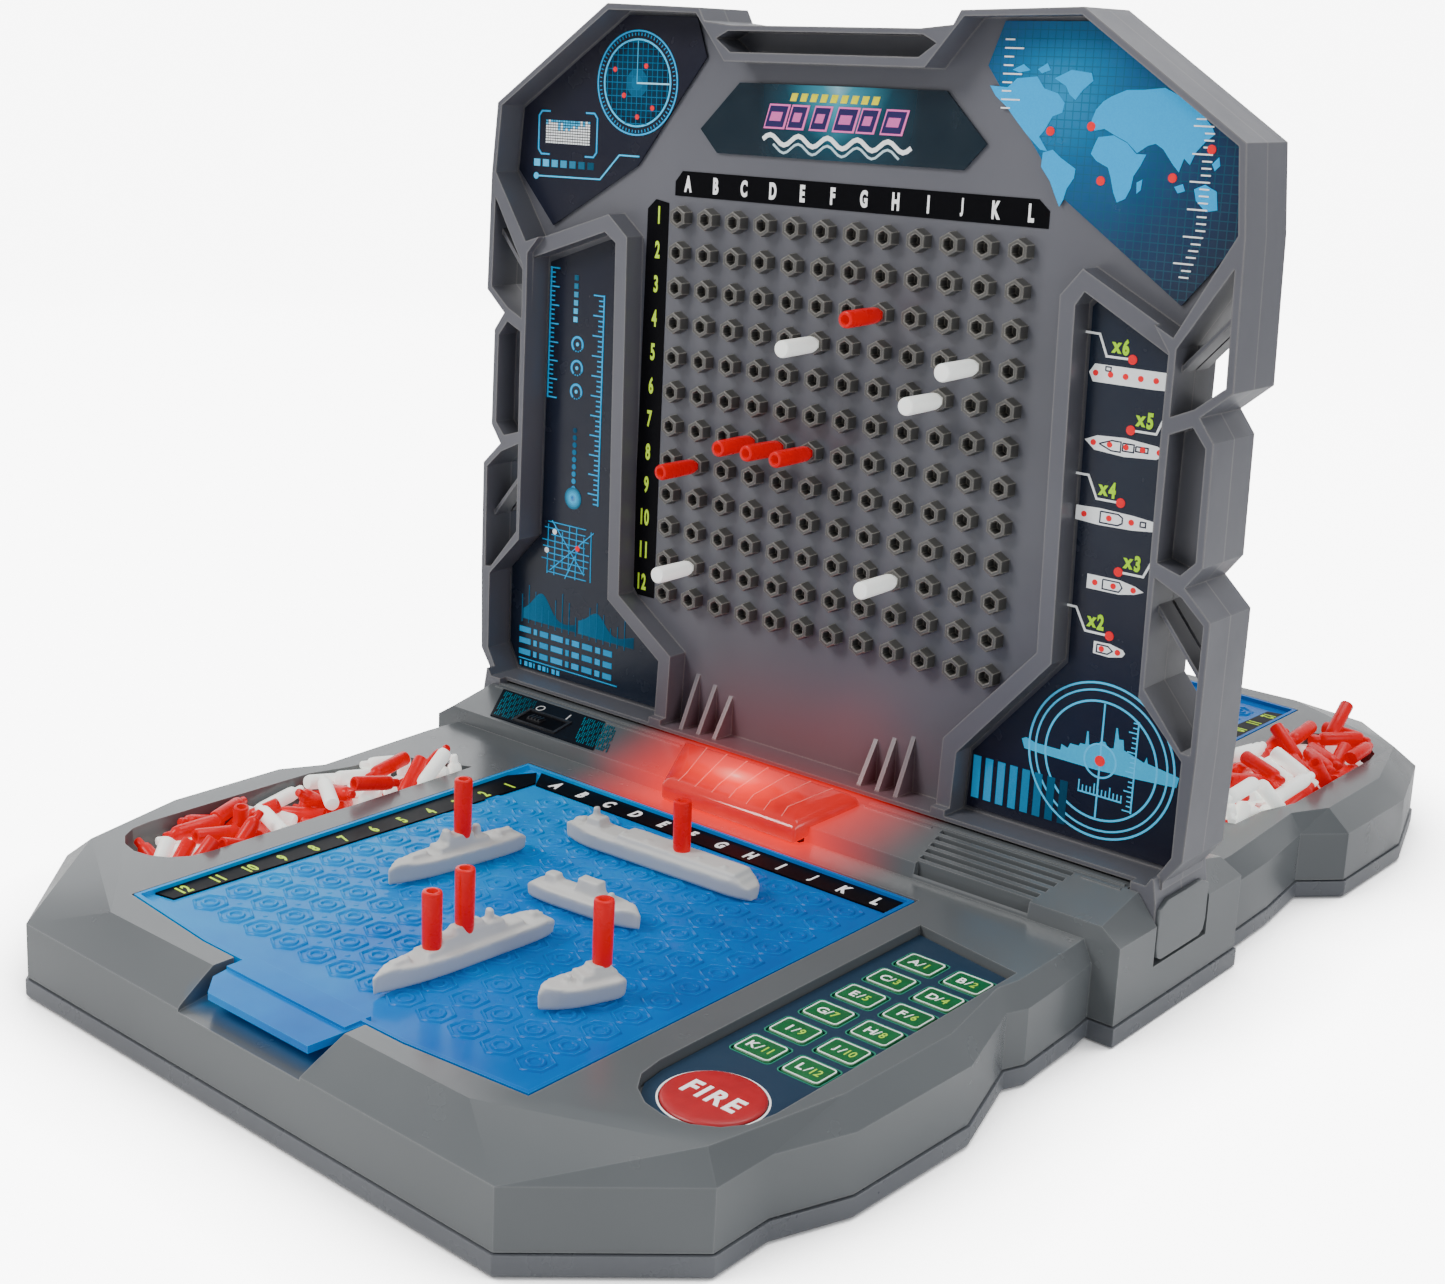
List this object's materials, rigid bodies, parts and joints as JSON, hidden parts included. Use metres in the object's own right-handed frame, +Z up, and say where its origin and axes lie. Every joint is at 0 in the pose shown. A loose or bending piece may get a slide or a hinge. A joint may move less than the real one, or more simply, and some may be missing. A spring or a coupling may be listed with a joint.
{
  "type": "fleet guessing case",
  "caption": "Two-player peg-and-grid fleet guessing game in a flat case with an upright socket screen, hinged ocean trays, peg wells and keypads on both sides.",
  "frame": {"origin": "middle of the underside, on the axis of the half-turn symmetry", "axes": "+Z up, X along the central spine, Y from one player's side to the other; the front player sits at -Y"},
  "size_m": [0.2424, 0.4042, 0.2405],
  "materials": {
    "case_grey": "satin moulded grey plastic",
    "cover_grey": "satin moulded grey plastic",
    "screen_grey": "satin moulded grey plastic",
    "ocean_blue": "glossy translucent blue plastic",
    "signal_red": "clear red plastic, lit from inside",
    "peg_red": "glossy",
    "peg_white": "glossy",
    "ship_grey": "satin",
    "label_dark": "printed sheet",
    "label_blue": "printed sheet",
    "label_teal": "printed sheet",
    "key_slate": "printed overlay",
    "key_green": "printed keys on a rubber mat",
    "fire_red": "satin",
    "switch_black": "matte",
    "board_green": "circuit board",
    "steel": "zinc plated",
    "cell_wrap": "shrink wrap",
    "speaker_black": "paper cone in a plastic frame"
  },
  "bodies": {
    "case": {"base_top_housing": "case_grey", "base_bottom_cover": "cover_grey", "battery_1": "cell_wrap", "battery_2": "cell_wrap", "battery_3": "cell_wrap", "battery_spring_plate": "steel", "battery_contact_plate": "steel", "main_board": "board_green", "signal_led": "signal_red", "speaker": "speaker_black", "signal_lens_front": "signal_red", "signal_lens_rear": "signal_red", "case_screw_front": "steel", "case_screw_rear": "steel", "keypad_overlay_front": "key_slate", "keypad_overlay_rear": "key_slate"},
    "battery_hatch": {"battery_door": "cover_grey", "battery_door_screw": "steel"},
    "screen": {"screen_front_shell": "screen_grey", "screen_rear_shell": "screen_grey", "title_label_front": "label_teal", "title_label_rear": "label_teal", "radar_label_front": "label_dark", "radar_label_rear": "label_dark", "map_label_front": "label_blue", "map_label_rear": "label_blue", "gauge_label_front": "label_dark", "gauge_label_rear": "label_dark", "fleet_label_front": "label_dark", "fleet_label_rear": "label_dark"},
    "tray_front": {"ocean_tray_front": "ocean_blue"},
    "tray_rear": {"ocean_tray_rear": "ocean_blue"},
    "power_switch": {"power_switch_knob": "switch_black"},
    "keys_front": {"key_mat_front": "key_green"},
    "keys_rear": {"key_mat_rear": "key_green"},
    "fire_front": {"fire_button_front": "fire_red"},
    "fire_rear": {"fire_button_rear": "fire_red"},
    "boat_carrier": {"ship_carrier": "ship_grey", "ship_peg_carrier": "peg_red"},
    "boat_battleship": {"ship_battleship": "ship_grey", "ship_peg_battleship": "peg_red"},
    "boat_cruiser": {"ship_cruiser": "ship_grey", "ship_peg_cruiser_1": "peg_red", "ship_peg_cruiser_2": "peg_red"},
    "boat_submarine": {"ship_submarine": "ship_grey"},
    "boat_patrol": {"ship_patrol": "ship_grey", "ship_peg_patrol": "peg_red"},
    "red_pegs": {"peg_red_1": "peg_red", "peg_red_2": "peg_red", "peg_red_3": "peg_red", "peg_red_4": "peg_red", "peg_red_5": "peg_red"},
    "white_pegs": {"peg_white_1": "peg_white", "peg_white_2": "peg_white", "peg_white_3": "peg_white", "peg_white_4": "peg_white", "peg_white_5": "peg_white"},
    "loose_pegs_a": {"loose_pegs_front": "peg_red"},
    "loose_pegs_b": {"loose_pegs_rear": "peg_red"}
  },
  "joints": [
    {"name": "screen_lift", "type": "slide", "parent": "case", "child": "screen", "axis": [0, 0, 1], "range_m": [0, 0.03]},
    {"name": "tray_front_hinge", "type": "hinge", "parent": "case", "child": "tray_front", "pos_m": [0, -0.0445, 0.0231], "axis": [-1, 0, 0], "range_deg": [0, 65]},
    {"name": "tray_rear_hinge", "type": "hinge", "parent": "case", "child": "tray_rear", "pos_m": [0, 0.0445, 0.0231], "axis": [1, 0, 0], "range_deg": [0, 65]},
    {"name": "power_switch_slide", "type": "slide", "parent": "case", "child": "power_switch", "axis": [1, 0, 0], "range_m": [0, 0.0035]},
    {"name": "keys_front_press", "type": "slide", "parent": "case", "child": "keys_front", "axis": [0, 0, -1], "range_m": [0, 0.0004]},
    {"name": "keys_rear_press", "type": "slide", "parent": "case", "child": "keys_rear", "axis": [0, 0, -1], "range_m": [0, 0.0004]},
    {"name": "fire_front_press", "type": "slide", "parent": "case", "child": "fire_front", "axis": [0, 0, -1], "range_m": [0, 0.0006]},
    {"name": "fire_rear_press", "type": "slide", "parent": "case", "child": "fire_rear", "axis": [0, 0, -1], "range_m": [0, 0.0006]},
    {"name": "battery_hatch_drop", "type": "slide", "parent": "case", "child": "battery_hatch", "axis": [0, 0, -1], "range_m": [0, 0.02]},
    {"name": "carrier_lift", "type": "slide", "parent": "tray_front", "child": "boat_carrier", "axis": [0, 0, 1], "range_m": [0, 0.015]},
    {"name": "battleship_lift", "type": "slide", "parent": "tray_front", "child": "boat_battleship", "axis": [0, 0, 1], "range_m": [0, 0.015]},
    {"name": "cruiser_lift", "type": "slide", "parent": "tray_front", "child": "boat_cruiser", "axis": [0, 0, 1], "range_m": [0, 0.015]},
    {"name": "submarine_lift", "type": "slide", "parent": "tray_front", "child": "boat_submarine", "axis": [0, 0, 1], "range_m": [0, 0.015]},
    {"name": "patrol_lift", "type": "slide", "parent": "tray_front", "child": "boat_patrol", "axis": [0, 0, 1], "range_m": [0, 0.015]},
    {"name": "red_pegs_pull", "type": "slide", "parent": "screen", "child": "red_pegs", "axis": [0, -1, 0], "range_m": [0, 0.02]},
    {"name": "white_pegs_pull", "type": "slide", "parent": "screen", "child": "white_pegs", "axis": [0, -1, 0], "range_m": [0, 0.02]},
    {"name": "loose_pegs_front_lift", "type": "slide", "parent": "case", "child": "loose_pegs_a", "axis": [0, 0, 1], "range_m": [0, 0.03]},
    {"name": "loose_pegs_rear_lift", "type": "slide", "parent": "case", "child": "loose_pegs_b", "axis": [0, 0, 1], "range_m": [0, 0.03]}
  ]
}
